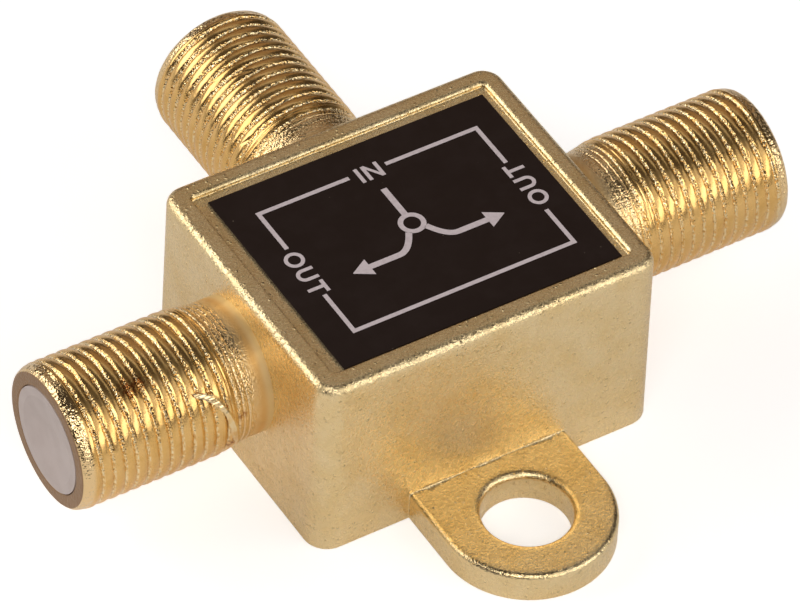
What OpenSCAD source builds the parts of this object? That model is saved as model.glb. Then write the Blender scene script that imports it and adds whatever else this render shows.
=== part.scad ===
// Two-way coaxial splitter: a die-cast box with three threaded ports, a fixing ear and a
// label recess, closed at the base by a soldered plate, with its transformers inside.
// Millimetres. The origin is the centre of the box on its base plane. The outputs lie along
// X, the input points to +Y, the ear to -Y, and the label faces +Z.

/* [Box] */
// Width of the box across the two output walls, at the base
body_w = 24.4; // [20:0.1:34]
// Depth of the box from the ear wall to the input wall, at the base
body_d = 20.4; // [18:0.1:30]
// Height of the box
body_h = 13.8; // [13.6:0.1:20]
// How far each wall leans in between base and top
body_draft = 0.2; // [0.05:0.05:0.6]
// Radius of the upright corners at the base
body_corner_r = 1.6; // [1.2:0.1:2.5]
// Radius of the rounded edge round the top
body_top_round = 0.45; // [0.2:0.05:0.8]
// Thickness of the side walls at the base
wall_t = 1.6; // [1.2:0.1:2]
// Thickness of the roof under the label recess
roof_t = 1.4; // [0.8:0.1:2]

/* [Label] */
// Width of the rim round the label recess
rim_w = 1.4; // [0.8:0.1:2.5]
// Depth of the label recess
recess_depth = 0.37; // [0.2:0.01:0.8]
// Corner radius of the label recess
recess_corner_r = 0.35; // [0.1:0.05:1]
// Thickness of the label plate
label_t = 0.15; // [0.08:0.01:0.19]
// Gap between the label and the recess at the left
label_gap_left = 0.9; // [0.1:0.1:2]
// Gap between the label and the recess at the right
label_gap_right = 0.5; // [0.1:0.1:2]
// Gap between the label and the recess at the back
label_gap_back = 0.7; // [0.1:0.1:2]
// Gap between the label and the recess at the front
label_gap_front = 0.25; // [0.1:0.05:2]

/* [Ports] */
// Height of the three ports' axes above the base
port_z = 7.75; // [7.6:0.05:8.5]
// How far each port stands out of the base of its wall
port_reach = 13.2; // [12.8:0.1:18]
// Outer diameter of the port thread
thread_d = 9.525; // [9.3:0.005:9.8]
// Diameter at the bottom of the port thread, and of the plain neck
thread_root_d = 8.8; // [8.6:0.05:9]
// Pitch of the port thread
thread_pitch = 0.79375; // [0.7:0.00125:0.85]
// Width of the flat on each thread crest
thread_crest = 0.34; // [0.3:0.01:0.42]
// Number of thread crests on a port
thread_crests = 13; // [8:1:13]
// Plain length ahead of the first thread crest
lead_in = 1.03; // [0.6:0.01:1.4]
// Diameter of the lead-in
lead_in_d = 9.2; // [9:0.05:9.2]
// Radius of the rounded edge at the port's tip
tip_round = 0.4; // [0.1:0.05:0.5]
// Bore of the port
port_bore_d = 7.1; // [6:0.1:7.2]

/* [Ear] */
// How far the ear stands out of the base of its wall
ear_reach = 10.15; // [8:0.05:16]
// Width of the ear, which is also its round end's diameter
ear_w = 11.3; // [9:0.1:16]
// Thickness of the ear
ear_t = 2.15; // [1.5:0.05:4]
// Radius of the rounded edge on the ear's upper side
ear_round = 0.3; // [0.1:0.05:0.6]
// Diameter of the fixing hole
ear_hole_d = 5.7; // [3:0.1:6]
// Radius of the rounded edge on the hole's upper side
ear_hole_round = 0.38; // [0.1:0.01:0.6]

/* [Back plate] */
// Thickness of the plate that closes the base
plate_t = 0.8; // [0.5:0.05:1.2]
// Width of the ledge that the plate sits on
plate_ledge = 0.6; // [0.3:0.05:0.8]
// Gap between the plate's edge and the casting
plate_gap = 0.05; // [0.02:0.01:0.1]
// Width and depth of the solder seam round the plate
seam_w = 0.35; // [0.2:0.05:0.4]

/* [Insulators] */
// Gap between an insulator and the bore that it sits in
insulator_gap = 0.04; // [0.01:0.01:0.1]
// Thickness of the web that closes the port's bore towards the box
web_t = 1.8; // [1:0.1:2.4]
// Diameter of the hole in the web
web_hole_d = 3.2; // [2:0.1:5]
// Diameter of the dished part of the insulator's face
dish_d = 5.8; // [3:0.1:6.2]
// Depth of the dish
dish_depth = 0.4; // [0.1:0.05:0.8]
// Diameter of the hole that guides the cable's centre conductor
guide_d = 1.3; // [1.25:0.05:1.5]
// Length of that hole behind the dish
guide_len = 1.5; // [1:0.1:2.5]
// Diameter of the chamber that holds the contact
chamber_d = 2; // [1.8:0.05:3]

/* [Contacts] */
// Gap between a contact and the chamber's wall
contact_gap = 0.04; // [0.01:0.01:0.1]
// Bore of the contact's socket
socket_bore_d = 0.9; // [0.6:0.05:1]
// Depth of the socket's bore
socket_depth = 6; // [4:0.1:7]
// Length of the slots that split the socket into fingers
slot_len = 4.2; // [2:0.1:5]
// Width of those slots
slot_w = 0.22; // [0.1:0.01:0.4]
// Diameter of the contact's tail
tail_d = 0.8; // [0.5:0.05:1]
// Length of the tail inside the box
tail_len = 3; // [2:0.1:3.4]

/* [Board] */
// Thickness of the circuit board
board_t = 1; // [0.6:0.1:1.6]
// Gap between the board's edge and the box's inner walls
board_gap = 0.7; // [0.2:0.1:1.2]
// Corner radius of the board
board_corner_r = 0.8; // [0.3:0.1:1.5]
// Diameter of the posts that the board sits against
post_d = 2.2; // [1.8:0.1:2.6]
// Diameter of each post's pin through the board
post_pin_d = 1; // [0.6:0.1:1.2]
// How far the pins stand out of the board
post_pin_out = 0.5; // [0.2:0.1:1]
// Distance from the board's edge to a post's axis
post_inset = 1.6; // [1.5:0.1:2.5]
// Gap at soldered and fitted surfaces
fit_gap = 0.02; // [0.01:0.01:0.04]
// Radius of the solder round a pin or a tail
solder_r = 0.85; // [0.75:0.05:1]
// Length of the solder along a tail
solder_len = 2; // [1:0.1:2]
// Height of the solder cone round a post's pin
pin_solder_h = 0.45; // [0.2:0.05:0.5]
// Height of the solder cone round a component's lead
lead_solder_h = 0.32; // [0.2:0.02:0.4]

/* [Input transformer] */
// Diameter of the ferrite ring, from middle to middle of its section
ring_d = 3.6; // [3.2:0.1:4]
// Diameter of the ring's round section
ring_section_d = 1.5; // [1.2:0.1:1.6]
// Turns of wire on the ring
ring_turns = 7; // [3:1:9]
// Share of the ring that the turns cover, in degrees
ring_cover = 270; // [120:10:300]
// Diameter of the winding wire
wire_d = 0.28; // [0.2:0.02:0.32]
// Gap between the ring's winding and the solder on the input's tail
ring_clear = 0.3; // [0.3:0.1:1]
// Distance along Y from a back post to the ring's middle
ring_behind_post = 2.9; // [2.8:0.1:3.2]

/* [Splitter transformer] */
// Length of the two-hole core along its holes
core_len = 3.4; // [3:0.1:3.8]
// Thickness of the core
core_t = 2.5; // [2:0.1:2.8]
// Distance between the core's two holes
core_pitch = 2.5; // [2:0.1:2.8]
// Diameter of the core's holes
core_hole_d = 1.3; // [1.25:0.05:1.4]
// Turns of wire through the holes
core_turns = 3; // [2:1:3]
// How far the turns stand out of the core's ends
core_bulge = 0.45; // [0.4:0.05:0.5]
// Gap between the core and the resistor
core_clear = 0.85; // [0.8:0.05:1]

/* [Resistor] */
// Diameter of the resistor's body
resistor_d = 1.4; // [1:0.1:1.5]
// Length of the resistor's body
resistor_len = 3.4; // [2.5:0.1:4]
// Length of the thicker cap at each end of the resistor
resistor_cap = 0.9; // [0.5:0.1:1.2]
// Share of the caps' diameter that the resistor's waist has
resistor_waist = 0.9; // [0.7:0.05:0.95]
// Distance from the board's front edge to the resistor's axis
resistor_inset = 1.15; // [1.1:0.05:1.3]
// Straight length of each of the resistor's leads ahead of its bend
resistor_lead_run = 0.5; // [0.3:0.1:1]

/* [Capacitors] */
// Diameter of the ceramic discs
disc_d = 3; // [2.4:0.1:3.2]
// Thickness of the ceramic discs
disc_t = 1; // [0.8:0.1:1.2]
// Distance between a disc's two leads
disc_pitch = 1.8; // [1.2:0.1:2]
// Gap between a disc and the board
disc_gap = 0.6; // [0.3:0.1:0.8]
// Diameter of the components' leads
lead_d = 0.4; // [0.3:0.05:0.5]
// Distance along X from a back post to the disc beside it
back_disc_from_post = 3.3; // [3:0.1:3.6]
// Distance along Y from a back post to the disc beside it
back_disc_behind_post = 2.7; // [2.4:0.1:3]
// Distance along X between the two discs at the back
back_disc_step = 2.2; // [2:0.1:2.4]
// Distance along X from an output's tail to the disc beside it
output_disc_from_tail = 2.2; // [2:0.1:2.6]
// Distance along Y from an output's axis to the disc beside it
output_disc_off_axis = 2.8; // [2.4:0.1:3.2]

/* [Hidden] */
$fn = 64;
eps = 0.01;

// Directions in which the three ports point, as turns about Z from +X
out_right_turn = 0;
in_turn = 90;
out_left_turn = 180;

// The box and its hollow
top_w = body_w - 2 * body_draft;
top_d = body_d - 2 * body_draft;
recess_w = top_w - 2 * rim_w;
recess_d = top_d - 2 * rim_w;
recess_z = body_h - recess_depth;
hollow_w = body_w - 2 * wall_t;
hollow_d = body_d - 2 * wall_t;
hollow_r = body_corner_r / 2;
hollow_top = recess_z - roof_t;

// The plate in the base, and the seam round it
seat_w = hollow_w + 2 * plate_ledge;
seat_d = hollow_d + 2 * plate_ledge;
seat_r = hollow_r + plate_ledge;
plate_w = seat_w - 2 * plate_gap;
plate_d = seat_d - 2 * plate_gap;
plate_r = seat_r - plate_gap;

// The ear
ear_r = ear_w / 2;
ear_y = -(body_d / 2 + ear_reach - ear_r);

// The ports: distances along a port run from the base of its wall to the tip
thread_end = port_reach - lead_in;
insulator_len = port_reach + wall_t - web_t;
bore_floor = port_reach - insulator_len;
guide_start = port_reach - dish_depth;
chamber_start = guide_start - guide_len;
socket_d = chamber_d - 2 * contact_gap;

// The board lies over the tails and against the posts
board_low = port_z + tail_d / 2 + fit_gap;
board_top = board_low + board_t;
board_w = hollow_w - 2 * board_gap;
board_d = hollow_d - 2 * board_gap;
post_x = board_w / 2 - post_inset;
post_y = board_d / 2 - post_inset;

// Places of the discs, and the inner ends of the output tails
back_disc = [post_x - back_disc_from_post, post_y - back_disc_behind_post];
matching_disc = [back_disc.x - back_disc_step, back_disc.y];
out_tail_tip = body_w / 2 - wall_t - tail_len;
output_disc = [out_tail_tip - output_disc_from_tail, -output_disc_off_axis];

// The resistor and its bent leads, below the board
resistor_y = -board_d / 2 + resistor_inset;
lead_bend_r = lead_d;
lead_drop = resistor_d / 2 + lead_d / 2 + 4 * fit_gap;
resistor_lead_x = resistor_len / 2 + fit_gap + resistor_lead_run + lead_bend_r;

// The ferrite ring and its winding, below the board and beside the input's tail
ring_r = ring_d / 2;
ring_steps = 14;
turn_r = (ring_section_d / 2 + fit_gap + wire_d / 2) / cos(180 / ring_steps);
ring_drop = turn_r + wire_d / 2 + 2 * fit_gap;
ring_x = solder_r + ring_clear + wire_d / 2 + turn_r + ring_r;
ring_y = post_y - ring_behind_post;

// The two-hole core and its winding, below the board
core_drop = core_t / 2 + 4 * fit_gap;
core_y = resistor_y + resistor_d / 2 + core_clear + core_len / 2;
turn_step = wire_d + fit_gap;
turn_low = -(core_turns - 1) * turn_step / 2 - turn_step / 4;
end_steps = 8;

// A rectangle with round corners
module rounded_rect(w, d, r) {
    square([w - 2 * r, d], center = true);
    square([w, d - 2 * r], center = true);
    for (x = [-1, 1], y = [-1, 1])
        translate([x * (w / 2 - r), y * (d / 2 - r)])
            circle(r);
}

// Sweeps a profile round a w by d rectangle. The profile's X runs outwards from the
// rectangle's edge, and its Y runs up.
module swept_round(w, d) {
    for (turn = [0, 180]) {
        rotate(turn)
            translate([w / 2, d / 2, 0])
                rotate([90, 0, 0])
                    linear_extrude(d)
                        children();
        rotate(turn + 90)
            translate([d / 2, w / 2, 0])
                rotate([90, 0, 0])
                    linear_extrude(w)
                        children();
        rotate(turn)
            translate([w / 2, d / 2, 0])
                rotate_extrude(angle = 90)
                    children();
        rotate(turn + 90)
            translate([d / 2, w / 2, 0])
                rotate_extrude(angle = 90)
                    children();
    }
}

// Profile of a wall that leans in, with a rounded upper edge
module wall_profile(r, h, lean, edge_r) {
    top_r = r - lean;
    difference() {
        polygon([[0, 0], [r, 0], [top_r, h], [0, h]]);
        translate([top_r - edge_r, h - edge_r])
            difference() {
                square(edge_r + lean + eps);
                circle(edge_r);
            }
    }
}

// The outer form of the box
module box_form() {
    w = body_w - 2 * body_corner_r;
    d = body_d - 2 * body_corner_r;
    translate([-w / 2, -d / 2, 0])
        cube([w, d, body_h]);
    swept_round(w, d)
        wall_profile(body_corner_r, body_h, body_draft, body_top_round);
}

// The ear, with a rounded upper edge and its fixing hole
module ear_form() {
    back = body_d / 2 - wall_t / 2;
    difference() {
        union() {
            translate([0, ear_y, 0])
                rotate(180)
                    rotate_extrude(angle = 180)
                        wall_profile(ear_r, ear_t, 0, ear_round);
            for (side = [0, 1])
                mirror([side, 0, 0])
                    translate([0, -back, 0])
                        rotate([90, 0, 0])
                            linear_extrude(-ear_y - back)
                                wall_profile(ear_r, ear_t, 0, ear_round);
        }
        translate([0, ear_y, -1])
            cylinder(d = ear_hole_d, h = ear_t + 2);
        translate([0, ear_y, ear_t - ear_hole_round])
            rotate_extrude()
                translate([ear_hole_d / 2, 0])
                    difference() {
                        translate([-ear_hole_round, 0])
                            square([2 * ear_hole_round, ear_hole_round + eps]);
                        translate([ear_hole_round, 0])
                            circle(ear_hole_round);
                    }
    }
}

// Puts a shape drawn up the Z axis on a port's axis, with Z = 0 at the base of its wall
module at_port(turn) {
    wall_at = turn == in_turn ? body_d / 2 : body_w / 2;
    rotate(turn)
        translate([wall_at, 0, port_z])
            rotate([0, 90, 0])
                children();
}

// The outside of a port: neck, thread crests, plain lead-in and rounded tip. A flank rises
// from the root to a crest, or to the lead-in.
module port_form() {
    root_r = thread_root_d / 2;
    crest_r = thread_d / 2;
    lead_r = lead_in_d / 2;
    flank = (thread_pitch - thread_crest) / 2.3;
    crests = [for (i = [thread_crests - 1:-1:0]) thread_end - thread_crest - i * thread_pitch];
    outline = concat(
        [[0, -wall_t / 2], [root_r, -wall_t / 2]],
        [for (z = crests) each [
            [root_r, z - flank],
            [crest_r, z],
            [crest_r, z + thread_crest],
            [root_r, z + thread_crest + flank]
        ]],
        [
            [lead_r, thread_end + 2 * flank],
            [lead_r, port_reach],
            [0, port_reach]
        ]
    );
    rotate_extrude()
        difference() {
            polygon(outline);
            translate([lead_r - tip_round, port_reach - tip_round])
                difference() {
                    square(tip_round + eps);
                    circle(tip_round);
                }
        }
}

// The bore of a port, and the hole through its web
module port_bore() {
    translate([0, 0, bore_floor])
        cylinder(d = port_bore_d, h = insulator_len + 1);
    translate([0, 0, -wall_t - 1])
        cylinder(d = web_hole_d, h = insulator_len);
}

// The posts inside the box, each with a pin that goes through the board
module posts() {
    for (x = [-1, 1], y = [-1, 1])
        translate([x * post_x, y * post_y, 0]) {
            translate([0, 0, board_top])
                cylinder(d = post_d, h = hollow_top - board_top + roof_t / 2);
            translate([0, 0, board_low - post_pin_out])
                cylinder(d = post_pin_d, h = board_t + post_pin_out + eps);
        }
}

module housing() {
    color("#c9a25c") {
        difference() {
            union() {
                box_form();
                ear_form();
                for (turn = [out_right_turn, in_turn, out_left_turn])
                    at_port(turn)
                        port_form();
            }
            translate([0, 0, -1])
                linear_extrude(hollow_top + 1)
                    rounded_rect(hollow_w, hollow_d, hollow_r);
            translate([0, 0, -1])
                linear_extrude(plate_t + 1)
                    rounded_rect(seat_w, seat_d, seat_r);
            seam_form(plate_gap + seam_w);
            translate([0, 0, recess_z])
                linear_extrude(recess_depth + 1)
                    rounded_rect(recess_w, recess_d, recess_corner_r);
            for (turn = [out_right_turn, in_turn, out_left_turn])
                at_port(turn)
                    port_bore();
        }
        posts();
    }
}

module back_plate() {
    color("#b9b7ae")
        linear_extrude(plate_t)
            rounded_rect(plate_w, plate_d, plate_r);
}

// The groove round the plate, or the bead that fills it, as wide as given
module seam_form(width) {
    swept_round(plate_w - 2 * plate_r, plate_d - 2 * plate_r)
        polygon([[plate_r, 0], [plate_r + width, 0], [plate_r, width]]);
}

module seam_solder() {
    color("#a9a9a4")
        seam_form(plate_gap + seam_w - fit_gap);
}

module label() {
    label_w = recess_w - label_gap_left - label_gap_right;
    label_d = recess_d - label_gap_back - label_gap_front;
    color("#231917")
        translate([-recess_w / 2 + label_gap_left, -recess_d / 2 + label_gap_front, recess_z])
            cube([label_w, label_d, label_t]);
}

// A plastic plug with a dished face, a guide hole and a chamber for the contact
module insulator() {
    r = port_bore_d / 2 - insulator_gap;
    color("#cfc6c3")
        rotate_extrude()
            polygon([
                [chamber_d / 2, bore_floor],
                [r, bore_floor],
                [r, port_reach],
                [dish_d / 2, port_reach],
                [guide_d / 2, guide_start],
                [guide_d / 2, chamber_start],
                [chamber_d / 2, chamber_start]
            ]);
}

module in_insulator() { at_port(in_turn) insulator(); }
module out_left_insulator() { at_port(out_left_turn) insulator(); }
module out_right_insulator() { at_port(out_right_turn) insulator(); }

// A turned contact: a slotted socket in the chamber and a thin tail into the box
module contact() {
    socket_top = chamber_start - contact_gap;
    tail_start = -wall_t - tail_len;
    color("#c8993f")
        difference() {
            union() {
                translate([0, 0, bore_floor])
                    cylinder(d = socket_d, h = socket_top - bore_floor);
                translate([0, 0, tail_start])
                    cylinder(d = tail_d, h = bore_floor - tail_start + eps);
            }
            translate([0, 0, socket_top - socket_depth])
                cylinder(d = socket_bore_d, h = socket_depth + 1);
            for (turn = [0, 90])
                rotate(turn)
                    translate([-socket_d, -slot_w / 2, socket_top - slot_len])
                        cube([2 * socket_d, slot_w, slot_len + 1]);
        }
}

module in_contact() { at_port(in_turn) contact(); }
module out_left_contact() { at_port(out_left_turn) contact(); }
module out_right_contact() { at_port(out_right_turn) contact(); }

module circuit_board() {
    color("#c7a96b")
        difference() {
            translate([0, 0, board_low])
                linear_extrude(board_t)
                    rounded_rect(board_w, board_d, board_corner_r);
            for (x = [-1, 1], y = [-1, 1])
                translate([x * post_x, y * post_y, board_low - 1])
                    cylinder(d = post_pin_d + 2 * fit_gap, h = board_t + 2);
        }
}

// A cone of solder against the board's underside, round a pin or lead
module solder_cone(pin_d, h) {
    rotate([180, 0, 0])
        rotate_extrude()
            polygon([
                [pin_d / 2 + fit_gap, fit_gap],
                [pin_d / 2 + fit_gap + h, fit_gap],
                [pin_d / 2 + 2 * fit_gap, fit_gap + h]
            ]);
}

module ground_solder() {
    color("#a9a9a4")
        for (x = [-1, 1], y = [-1, 1])
            translate([x * post_x, y * post_y, board_low])
                solder_cone(post_pin_d, pin_solder_h);
}

// Solder round each tail, cut off by the board above
module tail_solder() {
    color("#a9a9a4")
        for (turn = [out_right_turn, in_turn, out_left_turn])
            at_port(turn)
                translate([0, 0, -wall_t - tail_len + (tail_len - board_gap - solder_len) / 2])
                    difference() {
                        cylinder(r = solder_r, h = solder_len);
                        translate([0, 0, -1])
                            cylinder(d = tail_d + 2 * fit_gap, h = solder_len + 2);
                        translate([-2 * solder_r - tail_d / 2, -solder_r - 1, -1])
                            cube([2 * solder_r, 2 * solder_r + 2, solder_len + 2]);
                    }
}

// Unit vector along v
function unit(v) = v / norm(v);

// Direction of a path at its point i
function heading(path, i) =
    unit(path[min(i + 1, len(path) - 1)] - path[max(i - 1, 0)]);

// Normals carried along a path, each turned as little as the path allows
function normals(path, i, n, list) =
    i == len(path)
        ? list
        : let (t = heading(path, i), next = unit(n - (n * t) * t))
          normals(path, i + 1, next, concat(list, [next]));

// A wire of diameter d swept along a path, with the given number of sides
module wire(path, d, start_normal, sides = 6) {
    ns = normals(path, 0, start_normal, []);
    points = [
        for (i = [0:len(path) - 1])
            let (n = ns[i], b = cross(heading(path, i), n))
            for (j = [0:sides - 1])
                path[i] + d / 2 * (cos(360 * j / sides) * n + sin(360 * j / sides) * b)
    ];
    last = (len(path) - 1) * sides;
    faces = concat(
        [[for (j = [0:sides - 1]) j]],
        [
            for (i = [0:len(path) - 2], j = [0:sides - 1])
                let (a = i * sides + j, k = i * sides + (j + 1) % sides)
                each [[a, a + sides, k], [k, a + sides, k + sides]]
        ],
        [[for (j = [sides - 1:-1:0]) last + j]]
    );
    polyhedron(points, faces);
}

// The ferrite ring, round in section
module matching_core() {
    color("#4a4744")
        translate([ring_x, ring_y, board_low - ring_drop])
            rotate_extrude()
                translate([ring_r, 0])
                    circle(d = ring_section_d);
}

// Its winding starts outside the ring and ends in its hole, both ends at the board
function ring_path() =
    let (
        steps = ring_turns * ring_steps + ring_steps / 2,
        start_turn = -90 - ring_cover / 2
    )
    [
        for (i = [0:steps])
            let (
                around = start_turn + ring_cover * i / steps,
                roll = -360 * i / ring_steps,
                out = ring_r + turn_r * cos(roll)
            )
            [out * cos(around), out * sin(around), turn_r * sin(roll)]
    ];

module matching_winding() {
    path = ring_path();
    first = path[0];
    last = path[len(path) - 1];
    up = [0, 0, ring_drop - fit_gap];
    color("#b4652c")
        translate([ring_x, ring_y, board_low - ring_drop])
            wire(
                concat([first + up], path, [last + up]),
                wire_d,
                unit([first.x, first.y, 0])
            );
}

// The two-hole core: flat on two sides, round on the others, bored along Y
module hybrid_core() {
    color("#4a4744")
        translate([0, core_y + core_len / 2, board_low - core_drop])
            rotate([90, 0, 0])
                linear_extrude(core_len)
                    difference() {
                        union() {
                            square([core_pitch, core_t], center = true);
                            for (x = [-1, 1])
                                translate([x * core_pitch / 2, 0])
                                    circle(d = core_t);
                        }
                        for (x = [-1, 1])
                            translate([x * core_pitch / 2, 0])
                                circle(d = core_hole_d);
                    }
}

// One end of a turn: a flat curve from one hole's mouth to the other's
function end_arc(side, z) = [
    for (i = [0:end_steps])
        let (a = 180 * i / end_steps)
        [
            side * core_pitch / 2 * cos(a),
            side * (core_len / 2 + core_bulge * sin(a)),
            z + turn_step * i / end_steps / 2
        ]
];

// Both ends of the winding leave the core at the back, clear of the turns, and bend up
function core_lead(x, z) =
    let (bend = wire_d, y = core_len / 2 + core_bulge + wire_d + fit_gap)
    [
        [x, y - bend, z],
        [x, y - bend * 0.3, z + bend * 0.3],
        [x, y, z + bend],
        [x, y, core_drop - fit_gap]
    ];

function core_path() =
    let (lead_in_points = core_lead(-core_pitch / 2, turn_low))
    concat(
        [for (i = [3:-1:0]) lead_in_points[i]],
        [
            for (i = [0:core_turns - 1])
                each concat(
                    end_arc(-1, turn_low + turn_step * i),
                    i < core_turns - 1
                        ? end_arc(1, turn_low + turn_step * (i + 0.5))
                        : core_lead(core_pitch / 2, turn_low + turn_step * (i + 0.5))
                )
        ]
    );

module hybrid_winding() {
    color("#b4652c")
        translate([0, core_y, board_low - core_drop])
            wire(core_path(), wire_d, [1, 0, 0]);
}

// The resistor lies close below the board: a waist between two thicker caps
module isolation_resistor() {
    color("#b9a27c")
        translate([0, resistor_y, board_low - lead_drop])
            rotate([0, 90, 0]) {
                cylinder(d = resistor_d * resistor_waist, h = resistor_len, center = true);
                for (side = [0, 1])
                    mirror([0, 0, side])
                        translate([0, 0, resistor_len / 2 - resistor_cap])
                            cylinder(d = resistor_d, h = resistor_cap);
            }
}

module resistor_leads() {
    color("#b5b5b0")
        for (side = [0, 1])
            mirror([side, 0, 0])
                translate([resistor_len / 2 + fit_gap, resistor_y, board_low - lead_drop]) {
                    rotate([0, 90, 0])
                        cylinder(d = lead_d, h = resistor_lead_run);
                    translate([resistor_lead_run, 0, lead_bend_r])
                        rotate([90, 0, 0])
                            rotate(-90)
                                rotate_extrude(angle = 90)
                                    translate([lead_bend_r, 0])
                                        circle(d = lead_d);
                    translate([resistor_lead_run + lead_bend_r, 0, lead_bend_r])
                        cylinder(d = lead_d, h = lead_drop - lead_bend_r - fit_gap);
                }
}

// A ceramic disc that hangs on edge below the board, with sockets for its leads. The side
// is 1 for the right half of the board and -1 for the left half.
module disc_capacitor(place, side, tint) {
    color(tint)
        translate([side * place.x, place.y, board_low - disc_gap - disc_d / 2])
            difference() {
                rotate([0, 90, 0])
                    translate([0, 0, -disc_t / 2])
                        cylinder(d = disc_d, h = disc_t);
                for (end = [-1, 1])
                    translate([0, end * disc_pitch / 2, 0])
                        cylinder(d = lead_d + 2 * fit_gap, h = disc_d);
            }
}

module disc_leads(place, side) {
    foot = board_low - disc_gap - disc_d / 2 + fit_gap;
    color("#b5b5b0")
        for (end = [-1, 1])
            translate([side * place.x, place.y + end * disc_pitch / 2, foot])
                cylinder(d = lead_d, h = board_low - fit_gap - foot);
}

module input_capacitor() { disc_capacitor(back_disc, -1, "#b07a3a"); }
module input_capacitor_leads() { disc_leads(back_disc, -1); }
module matching_capacitor() { disc_capacitor(matching_disc, -1, "#c06a2a"); }
module matching_capacitor_leads() { disc_leads(matching_disc, -1); }
module output_left_capacitor() { disc_capacitor(output_disc, -1, "#b07a3a"); }
module output_left_capacitor_leads() { disc_leads(output_disc, -1); }
module output_right_capacitor() { disc_capacitor(output_disc, 1, "#b07a3a"); }
module output_right_capacitor_leads() { disc_leads(output_disc, 1); }

module lead_solder() {
    discs = [[back_disc, -1], [matching_disc, -1], [output_disc, -1], [output_disc, 1]];
    color("#a9a9a4") {
        for (disc = discs, end = [-1, 1])
            translate([disc[1] * disc[0].x, disc[0].y + end * disc_pitch / 2, board_low])
                solder_cone(lead_d, lead_solder_h);
        for (side = [-1, 1])
            translate([side * resistor_lead_x, resistor_y, board_low])
                solder_cone(lead_d, lead_solder_h);
    }
}

housing();
back_plate();
seam_solder();
label();
in_insulator();
out_left_insulator();
out_right_insulator();
in_contact();
out_left_contact();
out_right_contact();
circuit_board();
ground_solder();
tail_solder();
matching_core();
matching_winding();
hybrid_core();
hybrid_winding();
isolation_resistor();
resistor_leads();
input_capacitor();
input_capacitor_leads();
matching_capacitor();
matching_capacitor_leads();
output_left_capacitor();
output_left_capacitor_leads();
output_right_capacitor();
output_right_capacitor_leads();
lead_solder();
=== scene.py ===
"""Looks of the two-way coaxial splitter: a gold-plated die casting with three threaded
ports, a fixing ear and a black printed label, on a pale floor in soft studio light."""
import math

import bpy
import numpy as np
from mathutils import Matrix, Vector


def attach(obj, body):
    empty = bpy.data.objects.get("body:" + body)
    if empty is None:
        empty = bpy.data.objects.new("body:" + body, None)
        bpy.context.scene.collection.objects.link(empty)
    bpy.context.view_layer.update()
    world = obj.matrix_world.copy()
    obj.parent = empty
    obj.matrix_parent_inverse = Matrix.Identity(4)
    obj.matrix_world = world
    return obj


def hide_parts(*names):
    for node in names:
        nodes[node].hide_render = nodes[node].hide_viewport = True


MM = 0.001

# The box and its recess in millimetres. The main sizes are those of the part's source
BOX_W, BOX_D, BOX_H = 24.4, 20.4, 13.8
DRAFT = 0.2
CORNER_R = 1.6
TOP_ROUND = 0.58
RIM_W = 1.4
RECESS_DEPTH = 0.37
RECESS_R = 0.35
RECESS_LIP, RECESS_ROOT = 0.17, 0.08
LIP_SHIFT = 0.11
RECESS_INNER, RECESS_INNER_R = 1.2, 0.2
FOOT_ROUND = 0.12
WALL_T = 1.6
HOLLOW_TOP = 12.03
HOLLOW_R = 0.8
SEAT_LEDGE = 0.6
PLATE_T = 0.8
SEAM_OUT = 0.35
POST_X, POST_Y = 8.3, 6.3
POST_R, POST_PIN_R = 1.1, 0.5
BOARD_TOP, PIN_TIP = 9.17, 7.67
# How far forms reach into each other where they are joined or cut
OVERLAP = 0.5

# The ear
EAR_R = 5.65
EAR_Y = -14.7
EAR_T = 2.15
EAR_ROUND = 0.4
EAR_HOLE_R = 2.85
EAR_HOLE_ROUND = 0.5

# The ports, with lengths from the wall's foot
PORT_Z = 7.75
PORT_REACH = 13.2
BORE_R, BORE_FLOOR = 3.55, 0.2
WEB_HOLE_R = 1.6
MOUTH_LIP = 0.10
TIP_ROUND, TIP_LENGTH = 0.40, 0.70
PORT_STEPS, PORT_RINGS = 216, 420

# A plug's dish and guide hole, and the skin that closes the hole
DISH_R, DISH_DEPTH, GUIDE_R = 2.9, 0.4, 0.65
SKIN_R, SKIN_T, SKIN_HUB = 0.95, 0.06, 0.3
SKIN_RIM_LIFT, SKIN_GUIDE_LIFT = 0.0015, 0.010

# The thread: radii, how far its crests sag towards the grooves, and its run-out
PITCH = 0.79375
CREST_R, NECK_R, LEAD_R = 4.7625, 4.45, 4.69
CREST_SAG, SHOULDER, GROOVE_W = 0.115, 0.06, 0.16
RUN_OUT_RIDGE, RUN_OUT_GROOVE, RUN_OUT_W = 0.055, 0.045, 0.05

# Its wear: beads, wander of the grooves, uneven shoulders, nicks and dents
BEAD, BEAD_H = 0.11, 0.03
NECK_BEADS, TIP_BEADS = 0.3 * BEAD_H, 0.35 * BEAD_H
SLIP, WEAR, NICK, DENT = 0.016, 0.16, 0.04, 0.02

# Zones along a port: where each begins or ends, and the length over which it fades there
THREAD_STOP = 12.4
THREAD_RISE, THREAD_FALL = (1.9, 1.5), (THREAD_STOP, 0.3)
BODY_RISE = (1.3, 2.2)
RUN_OUT_RISE, RUN_OUT_FALL = (1.35, 0.2), (3.9, 1.2)
NECK_BEADS_RISE, NECK_BEADS_FALL = (0.9, 0.3), (2.6, 0.6)

# Zones of a port's finish: where each fades in or out, as distances from the wall
WALL_SKIN_END, ROOT_END = (0.7, 0.1), (1.6, 0.6)
NECK_START, NECK_END = (0.2, 1.2), (2.8, 2.0)
GROOVES_START, GROOVES_END = (1.8, 2.6), (12.6, 12.4)
TIP_START = (12.3, 12.6)

# The port's relief depths, and what its roughness loses or gains in each zone
PORT_WAVE, PORT_GRAIN = 0.014, 0.004
GROOVE_GRIT, NECK_GRIT, TIP_FLAKES = 0.07, 0.065, 0.08
GRAIN_POLISH, ROOT_MATT, FACE_MATT = 0.10, 0.28, 0.25

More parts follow.
